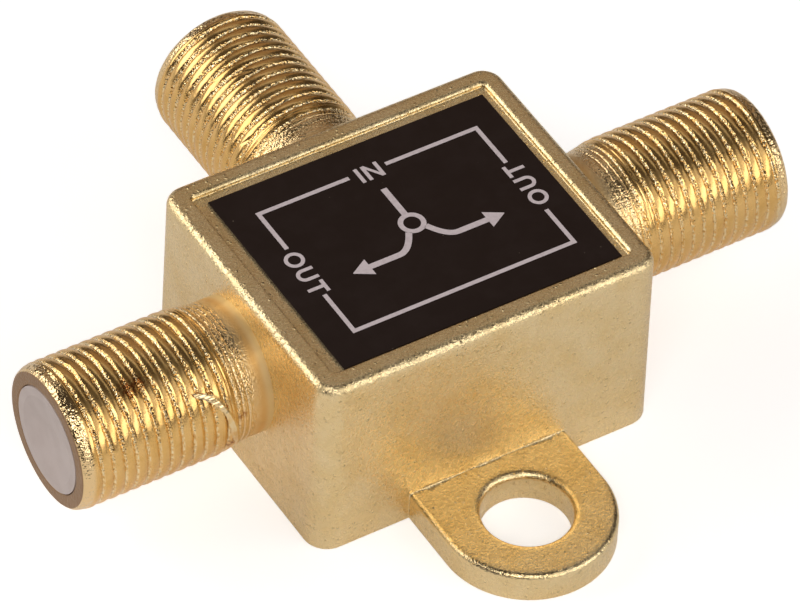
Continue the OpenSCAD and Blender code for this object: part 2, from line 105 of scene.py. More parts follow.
# The same for the casting, and how far below a flat its edge's finish fades in and out
SATIN_WAVE, SATIN_GRAIN, SATIN_SPECKS, EDGE_GRAIN = 0.004, 0.042, 0.06, 0.07
EAR_POLISH = 0.10
EDGE_TOP, BOX_EDGE_FOOT = (0.004, 0.03), (0.7, 0.5)

# The print, on the label's top
LABEL_TOP = 13.58
INK_T, INK_SUNK = 0.012, 0.03
FRAME_LINE = (-7.51, 8.17, -5.91, 5.51)
FRAME_W = 0.29
BACK_GAP, LEFT_GAP, RIGHT_GAP = (-1.04, 1.58), (-2.39, 2.06), (-2.71, 1.99)
MARKS = (("IN", (0.34, 5.36), 0), ("OUT", (-7.60, -0.27), -90), ("OUT", (8.33, -0.22), 90))
MARK_H, MARK_LINE = 1.30, 0.25
LETTER_WIDTHS = {
    "I": MARK_LINE, "N": 0.88 * MARK_H, "O": MARK_H, "U": 0.81 * MARK_H, "T": 0.80 * MARK_H,
}
LETTER_GAP = 0.19 * MARK_H
DIAGONAL = 1.4 * MARK_LINE
# The least cosine that a bend of a stroke is mitred by
LEAST_MITRE = 0.4

# The sign in the label's middle: a stem, a ring and two arms with arrow heads
SIGN_W = 0.42
SIGN_X, STEM_TOP, RING_Y, RING_R, RING_W = 0.35, 3.7, 0.3, 0.72, 0.8 * SIGN_W
STEM_GAP = 0.15
ARM_Y, ARM_START, ARM_RUN = -1.7, 0.62, 1.5
HEAD_BASE, HEAD_TIP, HEAD_HALF, POINT_HALF = 4.2, 5.4, 0.72, 0.02

# Colours
GOLD, GOLD_DEEP = (0.92, 0.72, 0.41), (0.87, 0.645, 0.32)
GOLD_PORT, GOLD_PORT_DEEP = (0.89, 0.56, 0.21), (0.81, 0.48, 0.15)
# The first colour here is a painted highlight: the pale glint lines along the ports' grooves
GROOVE_GLINT_PAINT, GOLD_GRAIN = (1.0, 0.81, 0.48), (0.92, 0.66, 0.34)
GOLD_FACE = (0.36, 0.22, 0.12)
STAIN = (0.42, 0.15, 0.035)
LABEL_BLACK, LABEL_HAZE = (0.013, 0.0055, 0.0040), (0.018, 0.009, 0.0070)
DUST = (0.30, 0.24, 0.18)
INK, INK_WORN = (0.72, 0.62, 0.63), (0.64, 0.54, 0.55)
PLASTIC, PLASTIC_DEEP = (0.60, 0.50, 0.46), (0.55, 0.45, 0.41)
FLOOR = (0.84, 0.83, 0.82)
ROOM = (0.050, 0.042, 0.036)

# Tarnish spots on the left port: place and radius
STAINS = (
    ((-14.3, -4.6, 8.4), 0.35), ((-15.1, -4.4, 6.3), 0.4),
    ((-21.0, -2.1, 11.9), 0.7), ((-20.1, -2.0, 12.0), 0.5),
)

# Each port: name, turn about Z, how far its wall is from the middle, random seed and stains
PORTS = (
    ("out_right_port", 0, BOX_W / 2, 11, ()),
    ("in_port", math.pi / 2, BOX_D / 2, 12, ()),
    ("out_left_port", math.pi, BOX_W / 2, 13, STAINS),
)

# The sliver on the left port: distance from the wall, angle up from -Y, width and lift
SLIVER = (
    (5.15, 42, 0.10, 0.11), (4.75, 39, 0.72, 0.11), (4.1, 34, 0.80, 0.09), (3.7, 28, 0.60, 0.07),
    (3.3, 19, 0.40, 0.05), (2.95, 8, 0.46, 0.03), (2.75, -4, 0.60, 0.01), (2.55, -14, 0.40, -0.02),
    (2.4, -24, 0.08, -0.06),
)
SLIVER_STEPS = 60
SLIVER_SUNK, SLIVER_T, SLIVER_ROUGH = 0.02, 0.045, 0.035

# Lamps: direction they shine from, width and height in metres, radiance and tint
LAMP_FAR, AIM_HEIGHT = 0.6, 0.007
WHITE, WARM = (1, 1, 1), (1, 0.74, 0.55)
LAMPS = (
    ("front_softbox", (0.42, -0.83, 0.36), (0.90, 0.20), 2.6, WHITE),
    ("front_panel", (0.36, -0.62, 0.70), (0.60, 0.24), 0.72, WHITE),
    ("left_softbox", (-0.62, 0.60, 0.50), (0.60, 0.40), 2.5, WHITE),
    ("top_strip", (0.38, 0.33, 0.86), (0.60, 0.12), 0.65, WHITE),
    ("back_panel", (0.42, 0.72, 0.55), (0.55, 0.40), 0.25, WARM),
    ("fill", (-0.42, -0.56, 0.70), (0.30, 0.26), 3.8, WHITE),
)
FLOOR_GAP, FLOOR_REACH = 0.02, 450
FLOOR_GLOW, FLOOR_GLOSSY_GLOW = 0.58, 0.14

# The camera, fitted to the photograph: place in millimetres, angles in degrees
CAMERA_AT = (-170.56, -257.49, 320.19)
CAMERA_AZIMUTH, CAMERA_ELEVATION, CAMERA_ROLL = 33.459, 45.440, 3.129
CAMERA_LENS = 320.06
CAMERA_SENSOR = 36.0


def mesh_piece(name, points, faces, smooth=True):
    """A mesh object from points in millimetres."""
    mesh = bpy.data.meshes.new(name)
    mesh.from_pydata((np.asarray(points, float) * MM).tolist(), [], faces)
    mesh.polygons.foreach_set("use_smooth", [smooth] * len(mesh.polygons))
    mesh.update()
    piece = bpy.data.objects.new(name, mesh)
    bpy.context.scene.collection.objects.link(piece)
    return piece


def ring_faces(rings, count, closed=False):
    """Quads between successive rings of count points each."""
    faces = []
    last = rings if closed else rings - 1
    for i in range(last):
        a, b = i * count, (i + 1) % rings * count
        for j in range(count):
            k = (j + 1) % count
            faces.append((a + j, a + k, b + k, b + j))
    return faces


def rounded_loop(half_x, half_y, radius, side_steps, corner_steps):
    """Points round a rectangle with round corners, counter-clockwise from the right side."""
    points = []
    centres = [(1, 1), (-1, 1), (-1, -1), (1, -1)]
    for n, (sx, sy) in enumerate(centres):
        cx, cy = sx * (half_x - radius), sy * (half_y - radius)
        for i in range(corner_steps + 1):
            a = math.radians(90 * (n + i / corner_steps))
            points.append((cx + radius * math.cos(a), cy + radius * math.sin(a)))
        nx, ny = centres[(n + 1) % 4]
        a = math.radians(90 * (n + 1))
        start = np.array(points[-1])
        end = np.array((nx * (half_x - radius), ny * (half_y - radius)))
        end = end + radius * np.array((math.cos(a), math.sin(a)))
        for i in range(1, side_steps):
            points.append(tuple(start + (end - start) * i / side_steps))
    return points


def quarter(steps):
    """Sine and one minus cosine over a quarter turn."""
    for i in range(steps + 1):
        a = math.pi / 2 * i / steps
        yield math.sin(a), 1 - math.cos(a)


def box_levels():
    """Half sizes, corner radius and height of each loop, from the hollow's top down to the
    foot, then up the walls and into the recess."""
    half_x, half_y = BOX_W / 2, BOX_D / 2
    top_x, top_y = half_x - DRAFT, half_y - DRAFT
    outer = []

    def add(inset, z):
        outer.append((half_x - inset, half_y - inset, CORNER_R - inset, z))

    def lean(z):
        return DRAFT * z / BOX_H

    for s, c in quarter(4):
        add(FOOT_ROUND * (1 - s), FOOT_ROUND * c)
    for z in np.linspace(FOOT_ROUND, BOX_H - TOP_ROUND, 26)[1:]:
        add(lean(z), z)
    for s, c in list(quarter(10))[1:]:
        add(lean(BOX_H) + TOP_ROUND * c, BOX_H - TOP_ROUND * (1 - s))
    recess_x, recess_y = top_x - RIM_W, top_y - RIM_W
    edge = (recess_x + RECESS_LIP, recess_y + RECESS_LIP, RECESS_R + RECESS_LIP)
    last = outer[-1]
    for f in (0.25, 0.5, 0.75):
        outer.append(tuple(last[i] + (edge[i] - last[i]) * f for i in range(3)) + (BOX_H,))
    for s, c in quarter(6):
        inset = RECESS_LIP * (1 - s)
        outer.append((recess_x + inset, recess_y + inset, RECESS_R + inset, BOX_H - RECESS_LIP * c))
    floor_z = BOX_H - RECESS_DEPTH
    outer.append((recess_x, recess_y, RECESS_R, floor_z + RECESS_ROOT))
    for s, c in list(quarter(3))[1:]:
        inset = RECESS_ROOT * c
        height = floor_z + RECESS_ROOT * (1 - s)
        outer.append((recess_x - inset, recess_y - inset, RECESS_R - inset, height))
    outer.append((recess_x - RECESS_INNER, recess_y - RECESS_INNER, RECESS_INNER_R, floor_z))

    inside_x, inside_y = half_x - WALL_T, half_y - WALL_T
    seat_x, seat_y, seat_r = inside_x + SEAT_LEDGE, inside_y + SEAT_LEDGE, HOLLOW_R + SEAT_LEDGE
    inner = [
        (seat_x + SEAM_OUT, seat_y + SEAM_OUT, seat_r + SEAM_OUT, 0),
        (seat_x, seat_y, seat_r, SEAM_OUT),
        (seat_x, seat_y, seat_r, PLATE_T),
        (inside_x, inside_y, HOLLOW_R, PLATE_T),
        (inside_x, inside_y, HOLLOW_R, HOLLOW_TOP),
    ]
    return inner[::-1] + outer


def lip_shift(half_x, z):
    """How far a loop of the recess's lip is moved to the right and back, where it is rounder."""
    if z <= BOX_H - RECESS_LIP or half_x > BOX_W / 2 - DRAFT - RIM_W + RECESS_LIP + 0.001:
        return 0
    return LIP_SHIFT * (1 - (BOX_H - z) / RECESS_LIP)


def box_piece():
    """The box as one closed skin: hollow, foot, walls, rounded top edge, rim and recess."""
    side_steps, corner_steps = 48, 12
    points = []
    levels = box_levels()
    for half_x, half_y, radius, z in levels:
        loop = rounded_loop(half_x, half_y, radius, side_steps, corner_steps)
        shift = lip_shift(half_x, z)
        points += [(x + shift, y + shift, z) for x, y in loop]
    count = len(points) // len(levels)
    faces = ring_faces(len(levels), count)
    faces.append(tuple(range(count))[::-1])
    faces.append(tuple(range(len(points) - count, len(points))))
    return mesh_piece("box_form", points, faces)


def ear_outline(inset):
    """The ear's outline, counter-clockwise from the left end of its round front."""
    r = EAR_R - inset
    back = -BOX_D / 2 + WALL_T / 2
    arc = [(-math.cos(a) * r, EAR_Y - math.sin(a) * r) for a in np.linspace(0, math.pi, 129)]
    right = [(r, y) for y in np.linspace(EAR_Y, back, 21)[1:]]
    across = [(x, back) for x in np.linspace(r, -r, 25)[1:]]
    left = [(-r, y) for y in np.linspace(back, EAR_Y, 21)[1:-1]]
    return arc + right + across + left


def ear_piece():
    """The fixing ear with rounded upper edges round its outline and its hole."""
    outline = ear_outline(0)
    turns = [math.atan2(y - EAR_Y, x) for x, y in outline]

    def hole_loop(r):
        return [(r * math.cos(a), EAR_Y + r * math.sin(a)) for a in turns]

    loops = []
    for s, c in quarter(4):
        loops.append((ear_outline(FOOT_ROUND * (1 - s)), FOOT_ROUND * c))
    for z in np.linspace(FOOT_ROUND, EAR_T - EAR_ROUND, 6)[1:]:
        loops.append((outline, z))
    for s, c in list(quarter(7))[1:]:
        loops.append((ear_outline(EAR_ROUND * c), EAR_T - EAR_ROUND * (1 - s)))
    edge = np.array(loops[-1][0])
    mouth = np.array(hole_loop(EAR_HOLE_R + EAR_HOLE_ROUND))
    for f in np.linspace(0, 1, 9)[1:-1]:
        loops.append(((edge + (mouth - edge) * f).tolist(), EAR_T))
    for s, c in quarter(8):
        loops.append((hole_loop(EAR_HOLE_R + EAR_HOLE_ROUND * (1 - s)), EAR_T - EAR_HOLE_ROUND * c))
    for z in np.linspace(EAR_T - EAR_HOLE_ROUND, FOOT_ROUND, 6)[1:]:
        loops.append((hole_loop(EAR_HOLE_R), z))
    for s, c in list(quarter(3))[1:]:
        loops.append((hole_loop(EAR_HOLE_R + FOOT_ROUND * c), FOOT_ROUND * (1 - s)))
    points = [(x, y, z) for loop, z in loops for x, y in loop]
    return mesh_piece("ear_form", points, ring_faces(len(loops), len(outline), closed=True))


def cylinder_piece(name, centre, radius, low, high, axis="Z", steps=48):
    """A closed cylinder between two places along an axis."""
    points = []
    for h in (low, high):
        for i in range(steps):
            a = 2 * math.pi * (i + 0.5) / steps
            c, s = radius * math.cos(a), radius * math.sin(a)
            if axis == "Z":
                points.append((centre[0] + c, centre[1] + s, h))
            elif axis == "X":
                points.append((h, centre[1] + c, centre[2] + s))
            else:
                points.append((centre[0] + s, h, centre[2] + c))
    faces = ring_faces(2, steps)
    faces.append(tuple(range(steps))[::-1])
    faces.append(tuple(range(steps, 2 * steps)))
    return mesh_piece(name, points, faces)


def combine(piece, other, operation):
    """Joins other to piece, or cuts it out, and deletes other."""
    step = piece.modifiers.new("combine", "BOOLEAN")
    step.operation = operation
    step.object = other
    step.solver = "EXACT"
    graph = bpy.context.evaluated_depsgraph_get()
    result = bpy.data.meshes.new_from_object(piece.evaluated_get(graph))
    piece.modifiers.remove(step)
    piece.data = result
    bpy.data.objects.remove(other)


def casting_piece():
    """Box, ear and board posts as one skin, with the holes through the port webs."""
    casting = box_piece()
    combine(casting, ear_piece(), "UNION")
    for x in (-POST_X, POST_X):
        for y in (-POST_Y, POST_Y):
            post = cylinder_piece("post", (x, y), POST_R, BOARD_TOP, HOLLOW_TOP + OVERLAP)
            combine(casting, post, "UNION")
            pin = cylinder_piece("pin", (x, y), POST_PIN_R, PIN_TIP, BOARD_TOP + OVERLAP)
            combine(casting, pin, "UNION")
    inner_x, outer_x = BOX_W / 2 - WALL_T - OVERLAP, BOX_W / 2 + OVERLAP
    inner_y, outer_y = BOX_D / 2 - WALL_T - OVERLAP, BOX_D / 2 + OVERLAP
    spans = ((inner_x, outer_x, "X"), (-outer_x, -inner_x, "X"), (inner_y, outer_y, "Y"))
    for low, high, axis in spans:
        hole = cylinder_piece("hole", (0, 0, PORT_Z), WEB_HOLE_R, low, high, axis)
        combine(casting, hole, "DIFFERENCE")
    casting.name = "casting"
    return casting


def smooth01(x):
    """A smooth step from 0 at 0 to 1 at 1."""
    x = np.clip(x, 0, 1)
    return x * x * (3 - 2 * x)


def rise(along, zone):
    """A smooth step from 0 to 1 where a zone begins."""
    return smooth01((along - zone[0]) / zone[1])


def fall(along, zone):
    """A smooth step from 1 to 0 where a zone ends."""
    return smooth01((zone[0] - along) / zone[1])


def waves(rng, count, low, high, turns):
    """Random smooth waves: how often each goes round the port, its frequency along the port,
    and its phase."""
    return [
        (rng.integers(0, turns), rng.uniform(low, high), rng.uniform(0, 2 * math.pi))
        for _ in range(count)
    ]


def wave_sum(terms, turn, along):
    """The waves' sum, scaled so that its spread doesn't grow with their number."""
    total = 0
    for k, f, p in terms:
        total = total + np.sin(k * turn + f * along + p)
    return total / math.sqrt(len(terms))


def notch(place, pitch, width):
    """1 at the bottom of each groove and 0 on the crests between them."""
    off = np.abs((place + 0.5) % 1 - 0.5) * pitch
    return np.exp(-((off / width) ** 2))


def bead_field(rng, steps, along):
    """Random beads, one to a step of the turn and BEAD long, between -1 and 1."""
    cells = rng.uniform(-1, 1, (int(PORT_REACH / BEAD) + 12, steps))
    place = along[:, 0] / BEAD + 8
    low = np.floor(place).astype(int)
    part = smooth01(place - low)[:, None]
    return cells[low] * (1 - part) + cells[low + 1] * part


def port_radius(turn, along, rng):
    """Outer radius of a port at an angle round it and a distance from the wall's foot."""
    slip = SLIP * wave_sum(waves(rng, 10, 0.5, 5, 12), turn, along)
    place = (along + slip) / PITCH - turn / (2 * math.pi)
    across = np.abs(2 * ((place + 0.5) % 1) - 1)
    worn = np.clip(1 + WEAR * wave_sum(waves(rng, 14, 0.5, 8, 16), turn, along), 0.6, 1.3)
    full = rise(along, THREAD_RISE) * fall(along, THREAD_FALL)
    sag = CREST_SAG * (1 - across) ** 2 + SHOULDER * worn * (1 - across) ** 5
    beads = bead_field(rng, turn.shape[1], along)
    edge = notch(place, PITCH, GROOVE_W)
    depth = (sag + BEAD_H * beads * edge) * full
    run_out = rise(along, RUN_OUT_RISE) * fall(along, RUN_OUT_FALL)
    depth = depth + RUN_OUT_RIDGE * notch(place + 0.5, PITCH, RUN_OUT_W) * run_out
    depth = depth + RUN_OUT_GROOVE * notch(place, PITCH, RUN_OUT_W) * run_out * (1 - full)
    body = NECK_R + (CREST_R - NECK_R) * rise(along, BODY_RISE)
    past = along - THREAD_STOP + 0.1
    lead = (CREST_R - LEAD_R) * smooth01(past / 0.3)
    nicks = np.clip(wave_sum(waves(rng, 16, 2, 14, 24), turn, along) - 1.3, 0, 1)
    r = body - lead - depth - NICK * nicks * full
    r = r + NECK_BEADS * beads * rise(along, NECK_BEADS_RISE) * fall(along, NECK_BEADS_FALL)
    tip = np.clip((along - (PORT_REACH - TIP_LENGTH)) / TIP_LENGTH, 0, 1)
    r = r - TIP_ROUND * (1 - np.sqrt(np.clip(1 - tip ** 1.9, 0, 1)))
    dents = wave_sum(waves(rng, 18, 2, 10, 30), turn, along)
    r = r + (DENT * dents + TIP_BEADS * beads) * smooth01(past / 0.4) * (1 - tip ** 3)
    return np.minimum(r, CREST_R)


def port_piece(name, turn_about_z, wall_at, seed):
    """A port: neck, thread, rounded tip, bore and web. Its axis is turned about Z from +X."""
    rng = np.random.default_rng(seed)
    steps = PORT_STEPS
    turn = np.linspace(0, 2 * math.pi, steps, endpoint=False)
    fine = np.linspace(0, PORT_REACH - TIP_LENGTH, PORT_RINGS)
    tip = PORT_REACH - TIP_LENGTH * (1 - np.sin(np.linspace(0, math.pi / 2, 13)[1:]))
    along = np.concatenate(([-WALL_T / 2], fine, tip))
    grid_turn, grid_along = np.meshgrid(turn, along)
    radius = port_radius(grid_turn, grid_along, rng)
    rings = [(grid_along[i], radius[i]) for i in range(len(along))]
    face_r = radius[-1]
    for f in (0.15, 0.5, 0.85):
        rings.append((np.full(steps, PORT_REACH), face_r + (BORE_R + MOUTH_LIP - face_r) * f))
    for s, c in quarter(3):
        r = BORE_R + MOUTH_LIP * (1 - s)
        rings.append((np.full(steps, PORT_REACH - MOUTH_LIP * c), np.full(steps, r)))
    for z in np.linspace(PORT_REACH - MOUTH_LIP, BORE_FLOOR, 5)[1:]:
        rings.append((np.full(steps, z), np.full(steps, BORE_R)))
    rings.append((np.full(steps, BORE_FLOOR), np.full(steps, WEB_HOLE_R)))
    rings.append((np.full(steps, -WALL_T / 2), np.full(steps, WEB_HOLE_R)))
    ca, sa = math.cos(turn_about_z), math.sin(turn_about_z)
    points = []
    for a, r in rings:
        across, up = r * np.cos(turn), r * np.sin(turn)
        out = wall_at + a
        points += np.stack([out * ca - across * sa, out * sa + across * ca, PORT_Z + up], -1).tolist()
    return mesh_piece(name, points, ring_faces(len(rings), steps, closed=True))


def sliver_piece():
    """A torn sliver of casting flash that lies over the left port's run-out threads."""
    rng = np.random.default_rng(21)
    path = np.array(SLIVER)
    spread = np.linspace(0, len(path) - 1, SLIVER_STEPS)
    along = np.interp(spread, range(len(path)), path[:, 0])
    turn = np.radians(np.interp(spread, range(len(path)), path[:, 1]))
    width = np.interp(spread, range(len(path)), path[:, 2])
    lift = np.interp(spread, range(len(path)), path[:, 3])
    rough = rng.uniform(-1, 1, (SLIVER_STEPS, 2)) * SLIVER_ROUGH
    section = [(-1, 0), (-0.4, 1), (0.5, 0.8), (1, 0), (0, -0.6)]
    points = []
    for i in range(SLIVER_STEPS):
        for side, high in section:
            a = along[i] + side * width[i] / 2 + rough[i, 0] * abs(side)
            r = CREST_R - SLIVER_SUNK + lift[i] + high * SLIVER_T + rough[i, 1] * 0.3
            points.append((-BOX_W / 2 - a, -r * math.cos(turn[i]), PORT_Z + r * math.sin(turn[i])))
    faces = ring_faces(SLIVER_STEPS, len(section))
    faces.append(tuple(range(len(section)))[::-1])
    faces.append(tuple(range(len(points) - len(section), len(points))))
    return mesh_piece("flash_sliver", points, faces, smooth=False)


def plug_skin(name, turn_about_z, wall_at):
    """The thin skin that closes a plug's guide hole flush with the dish."""
    steps, dish = 48, wall_at + PORT_REACH - DISH_DEPTH
    rim = DISH_DEPTH * (SKIN_R - GUIDE_R) / (DISH_R - GUIDE_R)
    profile = [(SKIN_HUB, -SKIN_T), (SKIN_R, -SKIN_T), (SKIN_R, rim + SKIN_RIM_LIFT),
               (GUIDE_R, SKIN_GUIDE_LIFT), (SKIN_HUB, 0.0)]
    ca, sa = math.cos(turn_about_z), math.sin(turn_about_z)
    points = []
    for r, lift in profile:
        for i in range(steps):
            a = 2 * math.pi * i / steps
            out, across = dish + lift, r * math.cos(a)
            points.append((out * ca - across * sa, out * sa + across * ca, PORT_Z + r * math.sin(a)))
    faces = ring_faces(len(profile), steps)
    faces.append(tuple(range(steps))[::-1])
    faces.append(tuple(range(len(points) - steps, len(points))))
    return mesh_piece(name, points, faces, smooth=False)


def flat_stroke(path, width, closed=False):
    """Corner points on both sides of a path, mitred at its bends."""
    path = [np.array(q, float) for q in path]
    count = len(path)
    left, right = [], []
    for i, q in enumerate(path):
        before = path[i - 1] if closed or i else None
        after = path[(i + 1) % count] if closed or i < count - 1 else None
        ways = []
        if before is not None:
            ways.append((q - before) / np.linalg.norm(q - before))
        if after is not None:
            ways.append((after - q) / np.linalg.norm(after - q))
        way = sum(ways) / np.linalg.norm(sum(ways))
        side = np.array((-way[1], way[0]))
        reach = width / 2 / max(side @ np.array((-ways[0][1], ways[0][0])), LEAST_MITRE)
        left.append(q + side * reach)
        right.append(q - side * reach)
    return left, right


class Print:
    """Flat raised ink on the label, gathered into one mesh."""

    def __init__(self):
        self.points, self.faces = [], []

    def slab(self, left, right, closed):
        """Ink between two edge lines, as a closed solid."""
        base, count = len(self.points), len(left)
        for z in (LABEL_TOP - INK_SUNK, LABEL_TOP + INK_T):
            self.points += [(*q, z) for q in left] + [(*q, z) for q in right]
        low_l, low_r, top_l, top_r = (base + k * count for k in range(4))
        spans = count if closed else count - 1
        for i in range(spans):
            j = (i + 1) % count
            self.faces += [
                (top_l + i, top_r + i, top_r + j, top_l + j),
                (low_l + i, low_l + j, low_r + j, low_r + i),
                (low_l + i, top_l + i, top_l + j, low_l + j),
                (low_r + i, low_r + j, top_r + j, top_r + i),
            ]
        if not closed:
            i = count - 1
            self.faces += [
                (low_l, low_r, top_r, top_l),
                (low_l + i, top_l + i, top_r + i, low_r + i),
            ]

    def stroke(self, path, width, closed=False):
        """Ink of one width along a path."""
        left, right = flat_stroke(path, width, closed)
        self.slab(left, right, closed)

    def piece(self, name):
        """The gathered ink as a mesh object."""
        return mesh_piece(name, self.points, self.faces, smooth=False)


def ellipse_path(cx, cy, rx, ry, start=0, stop=360, steps=40):
    """Points round an ellipse between two angles, without the last one on a full turn."""
    turns = np.radians(np.linspace(start, stop, steps + 1))
    if stop - start == 360:
        turns = turns[:-1]
    return [(cx + rx * math.cos(a), cy + ry * math.sin(a)) for a in turns]


def letter_paths(letter):
    """Centre lines of a capital, from its lower left corner, with whether each is closed. The
    last one is the T, and the N is without its diagonal."""
    h, w, e = MARK_H, LETTER_WIDTHS[letter], MARK_LINE / 2
    if letter == "I":
        return [([(w / 2, 0), (w / 2, h)], False)]
    if letter == "N":
        return [([(e, 0), (e, h)], False), ([(w - e, 0), (w - e, h)], False)]
    if letter == "O":
        return [(ellipse_path(w / 2, h / 2, w / 2 - e, h / 2 - e), True)]
    if letter == "U":
        r = w / 2 - e
        bowl = ellipse_path(w / 2, r + e, r, r, 180, 360, 20)
        return [([(e, h)] + bowl + [(w - e, h)], False)]
    return [([(0, h - e), (w, h - e)], False), ([(w / 2, 0), (w / 2, h - MARK_LINE)], False)]


def write_word(ink, word, middle, turn):
    """Capitals centred on a point, with the reading direction turned from +X."""
    h, line = MARK_H, MARK_LINE
    ca, sa = math.cos(math.radians(turn)), math.sin(math.radians(turn))
    start = -(sum(LETTER_WIDTHS[c] for c in word) + LETTER_GAP * (len(word) - 1)) / 2

    def place(points):
        moved = [(start + x, y - h / 2) for x, y in points]
        return [(middle[0] + x * ca - y * sa, middle[1] + x * sa + y * ca) for x, y in moved]

    for c in word:
        w = LETTER_WIDTHS[c]
        for path, closed in letter_paths(c):
            ink.stroke(place(path), line, closed)
        if c == "N":
            top, bottom = [(line, h), (w - line, DIAGONAL)], [(line, h - DIAGONAL), (w - line, 0)]
            ink.slab(place(top), place(bottom), False)
        start += w + LETTER_GAP


def print_piece():
    """The label's print: a frame line with a gap at each port, the ports' marks, and the
    plain sign of one path that forks into two."""
    ink = Print()
    x0, x1, y0, y1 = FRAME_LINE
    ink.stroke([(BACK_GAP[0], y1), (x0, y1), (x0, LEFT_GAP[1])], FRAME_W)
    ink.stroke([(x0, LEFT_GAP[0]), (x0, y0), (x1, y0), (x1, RIGHT_GAP[0])], FRAME_W)
    ink.stroke([(x1, RIGHT_GAP[1]), (x1, y1), (BACK_GAP[1], y1)], FRAME_W)
    for word, middle, turn in MARKS:
        write_word(ink, word, middle, turn)
    ink.stroke([(SIGN_X, STEM_TOP), (SIGN_X, RING_Y + RING_R + STEM_GAP)], SIGN_W)
    ink.stroke(ellipse_path(SIGN_X, RING_Y, RING_R, RING_R), RING_W, closed=True)
    for side in (-1, 1):
        start, run, drop = SIGN_X + side * ARM_START, side * ARM_RUN, RING_Y - ARM_START - ARM_Y
        bend = [(start + run * t, ARM_Y + drop * (1 - t) ** 2) for t in np.linspace(0, 1, 16)]
        base, tip = SIGN_X + side * HEAD_BASE, SIGN_X + side * HEAD_TIP
        ink.stroke(bend + [(base, ARM_Y)], SIGN_W)
        ink.slab([(base, ARM_Y + side * HEAD_HALF), (tip, ARM_Y + side * POINT_HALF)],
                 [(base, ARM_Y - side * HEAD_HALF), (tip, ARM_Y - side * POINT_HALF)], False)
    return ink.piece("label_print")


def plain_material(name, colour, roughness, metallic=0.0, **more):
    """A Principled material with the same values all over."""
    material = bpy.data.materials.new(name)
    material.use_nodes = True
    shader = material.node_tree.nodes["Principled BSDF"]
    shader.inputs["Base Color"].default_value = (*colour, 1)
    shader.inputs["Roughness"].default_value = roughness
    shader.inputs["Metallic"].default_value = metallic
    for key, value in more.items():
        shader.inputs[key.replace("_", " ")].default_value = value
    return material


class Nodes:
    """Builds a material's or world's node tree. Places are object coordinates, and sizes
    are given in millimetres."""

    def __init__(self, material):
        self.tree = material.node_tree
        self.shader = self.tree.nodes.get("Principled BSDF")
        self.normal = None
        self.place = self.make("ShaderNodeTexCoord").outputs["Object"]

    def make(self, kind, inputs=(), **settings):
        """A node with settings, and inputs by name or number that are values or sockets."""
        node = self.tree.nodes.new(kind)
        for key, value in settings.items():
            setattr(node, key, value)
        for key, value in dict(inputs).items():
            if isinstance(value, bpy.types.NodeSocket):
                self.tree.links.new(value, node.inputs[key])
            else:
                node.inputs[key].default_value = value
        return node

    def math(self, operation, first, second=0.0):
        """The result of a sum, product or other operation on one or two values."""
        return self.make("ShaderNodeMath", {0: first, 1: second}, operation=operation).outputs[0]

    def noise(self, size, detail=2.0, sharp=0.5):
        """Noise whose grains are about a size across."""
        inputs = {"Vector": self.place, "Scale": 1 / (size * MM), "Detail": detail, "Roughness": sharp}
        return self.make("ShaderNodeTexNoise", inputs).outputs["Fac"]

    def dots(self, spacing, radius, soft):
        """1 in scattered dots and 0 between them."""
        inputs = {"Vector": self.place, "Scale": 1 / (spacing * MM)}
        far = self.make("ShaderNodeTexVoronoi", inputs).outputs["Distance"]
        return self.span(far, (radius + soft) / spacing, radius / spacing)

    def span(self, value, low, high, to_low=0.0, to_high=1.0):
        """A smooth step from to_low at low to to_high at high."""
        inputs = {"Value": value, "From Min": low, "From Max": high,
                  "To Min": to_low, "To Max": to_high}
        node = self.make("ShaderNodeMapRange", inputs, interpolation_type="SMOOTHSTEP")
        return node.outputs["Result"]

    def blend(self, factor, first, second):
        """The first colour at factor 0 and the second at 1."""
        node = self.make("ShaderNodeMix", data_type="RGBA")
        for slot, value in ((0, factor), (6, first), (7, second)):
            if isinstance(value, bpy.types.NodeSocket):
                self.tree.links.new(value, node.inputs[slot])
            else:
                node.inputs[slot].default_value = (*value, 1) if slot else value
        return node.outputs[2]

    def bump(self, height, depth):
        """Adds relief of a depth on top of the relief so far."""
        inputs = {"Height": height, "Distance": depth * MM, "Strength": 1.0}
        if self.normal:
            inputs["Normal"] = self.normal
        self.normal = self.make("ShaderNodeBump", inputs).outputs["Normal"]

    def finish(self, colour=None, roughness=None):
        """Links the relief, the colour and the roughness to the shader."""
        if self.normal:
            self.tree.links.new(self.normal, self.shader.inputs["Normal"])
        if colour:
            self.tree.links.new(colour, self.shader.inputs["Base Color"])
        if roughness:
            self.tree.links.new(roughness, self.shader.inputs["Roughness"])

    def axis(self, index):
        """The place's X, Y or Z."""
        return self.make("ShaderNodeSeparateXYZ", {0: self.place}).outputs[index]

    def near(self, point, radius, soft):
        """1 within a radius of a point and 0 beyond it."""
        inputs = {0: self.place, 1: tuple(c * MM for c in point)}
        node = self.make("ShaderNodeVectorMath", inputs, operation="DISTANCE")
        return self.span(node.outputs["Value"], (radius + soft) * MM, radius * MM)


